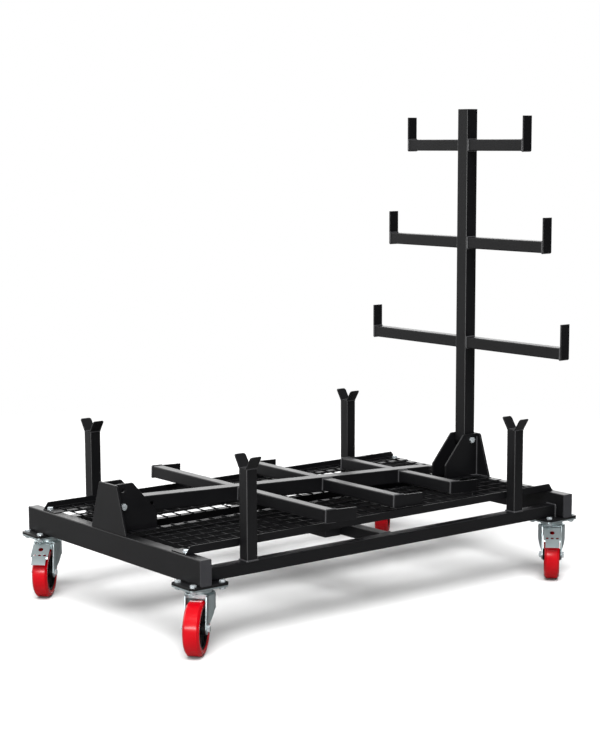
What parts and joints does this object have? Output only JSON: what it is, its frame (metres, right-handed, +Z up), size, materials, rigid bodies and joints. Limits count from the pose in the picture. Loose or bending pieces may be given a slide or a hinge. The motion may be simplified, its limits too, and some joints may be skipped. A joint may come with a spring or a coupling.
{
  "type": "long material cart",
  "caption": "Four-wheeled cart for long stock: box-section frame with a wire-mesh deck, corner posts with V cradles and folding masts with arms.",
  "frame": {"origin": "on the floor under the middle of the frame", "axes": "+X along the cart towards the upright mast, +Y to the far side, +Z up"},
  "size_m": [1.672, 1.0624, 1.6],
  "materials": {
    "black_powder_coat": "satin black powder coat with a fine texture",
    "zinc_plate": "bright zinc plating, slightly blue",
    "red_tyre": "red polyurethane with a soft gloss",
    "black_wheel_centre": "black moulded nylon"
  },
  "bodies": {
    "frame": {"bracket_cheeks_left": "black_powder_coat", "bracket_cheeks_right": "black_powder_coat", "bracket_end_plate_left": "black_powder_coat", "bracket_end_plate_right": "black_powder_coat", "caster_bolts": "zinc_plate", "caster_mounts": "black_powder_coat", "caster_nuts": "zinc_plate", "caster_top_plates": "zinc_plate", "centre_spine": "black_powder_coat", "cross_beams": "black_powder_coat", "deck_bolts": "zinc_plate", "deck_edge_far": "black_powder_coat", "deck_edge_near": "black_powder_coat", "deck_inner_edges": "black_powder_coat", "deck_mesh_far": "black_powder_coat", "deck_mesh_near": "black_powder_coat", "deck_supports": "black_powder_coat", "end_rail_left": "black_powder_coat", "end_rail_right": "black_powder_coat", "kingpins": "zinc_plate", "pivot_bolts": "zinc_plate", "pivot_nuts": "zinc_plate", "post_cradles": "black_powder_coat", "post_left_far": "black_powder_coat", "post_left_near": "black_powder_coat", "post_right_far": "black_powder_coat", "post_right_near": "black_powder_coat", "rail_end_caps": "black_powder_coat", "side_rail_far": "black_powder_coat", "side_rail_near": "black_powder_coat"},
    "left_mast_body": {"left_arm_stops": "black_powder_coat", "left_arms_lower": "black_powder_coat", "left_arms_middle": "black_powder_coat", "left_arms_upper": "black_powder_coat", "left_mast": "black_powder_coat", "left_mast_cap": "black_powder_coat"},
    "right_mast_body": {"right_arm_stops": "black_powder_coat", "right_arms_lower": "black_powder_coat", "right_arms_middle": "black_powder_coat", "right_arms_upper": "black_powder_coat", "right_mast": "black_powder_coat", "right_mast_cap": "black_powder_coat"},
    "swivel_left_near": {"fork_left_near": "zinc_plate", "axle_left_near": "zinc_plate"},
    "wheel_left_near": {"tyre_left_near": "red_tyre", "wheel_centre_left_near": "black_wheel_centre"},
    "swivel_left_far": {"fork_left_far": "zinc_plate", "axle_left_far": "zinc_plate"},
    "wheel_left_far": {"tyre_left_far": "red_tyre", "wheel_centre_left_far": "black_wheel_centre"},
    "swivel_right_near": {"fork_right_near": "zinc_plate", "axle_right_near": "zinc_plate"},
    "wheel_right_near": {"tyre_right_near": "red_tyre", "wheel_centre_right_near": "black_wheel_centre"},
    "swivel_right_far": {"fork_right_far": "zinc_plate", "axle_right_far": "zinc_plate"},
    "wheel_right_far": {"tyre_right_far": "red_tyre", "wheel_centre_right_far": "black_wheel_centre"},
    "pedal_left_far": {"brake_pedal_left_far": "zinc_plate"},
    "pedal_right_near": {"brake_pedal_right_near": "zinc_plate"}
  },
  "joints": [
    {"name": "left_mast_fold", "type": "hinge", "parent": "frame", "child": "left_mast_body", "pos_m": [-0.746, 0, 0.368], "axis": [0, -1, 0], "range_deg": [0, 92.19]},
    {"name": "right_mast_fold", "type": "hinge", "parent": "frame", "child": "right_mast_body", "pos_m": [0.746, 0, 0.418], "axis": [0, -1, 0], "range_deg": [0, 90]},
    {"name": "swivel_left_near_turn", "type": "hinge", "parent": "frame", "child": "swivel_left_near", "pos_m": [-0.742, -0.442, 0.19], "axis": [0, 0, 1], "continuous": true},
    {"name": "wheel_left_near_roll", "type": "hinge", "parent": "swivel_left_near", "child": "wheel_left_near", "pos_m": [-0.78287, -0.4788, 0.0825], "axis": [0.6691, -0.7431, 0], "continuous": true},
    {"name": "swivel_left_far_turn", "type": "hinge", "parent": "frame", "child": "swivel_left_far", "pos_m": [-0.742, 0.442, 0.19], "axis": [0, 0, 1], "continuous": true},
    {"name": "wheel_left_far_roll", "type": "hinge", "parent": "swivel_left_far", "child": "wheel_left_far", "pos_m": [-0.77986, 0.4021, 0.0825], "axis": [0.7254, -0.6884, 0], "continuous": true},
    {"name": "swivel_right_near_turn", "type": "hinge", "parent": "frame", "child": "swivel_right_near", "pos_m": [0.742, -0.442, 0.19], "axis": [0, 0, 1], "continuous": true},
    {"name": "wheel_right_near_roll", "type": "hinge", "parent": "swivel_right_near", "child": "wheel_right_near", "pos_m": [0.70311, -0.48089, 0.0825], "axis": [0.7071, -0.7071, 0], "continuous": true},
    {"name": "swivel_right_far_turn", "type": "hinge", "parent": "frame", "child": "swivel_right_far", "pos_m": [0.742, 0.442, 0.19], "axis": [0, 0, 1], "continuous": true},
    {"name": "wheel_right_far_roll", "type": "hinge", "parent": "swivel_right_far", "child": "wheel_right_far", "pos_m": [0.70311, 0.40311, 0.0825], "axis": [0.7071, -0.7071, 0], "continuous": true},
    {"name": "pedal_left_far_press", "type": "hinge", "parent": "swivel_left_far", "child": "pedal_left_far", "pos_m": [-0.77229, 0.41008, 0.16], "axis": [0.7254, -0.6884, 0], "range_deg": [0, 10]},
    {"name": "pedal_right_near_press", "type": "hinge", "parent": "swivel_right_near", "child": "pedal_right_near", "pos_m": [0.71089, -0.47311, 0.16], "axis": [0.7071, -0.7071, 0], "range_deg": [0, 10]}
  ]
}
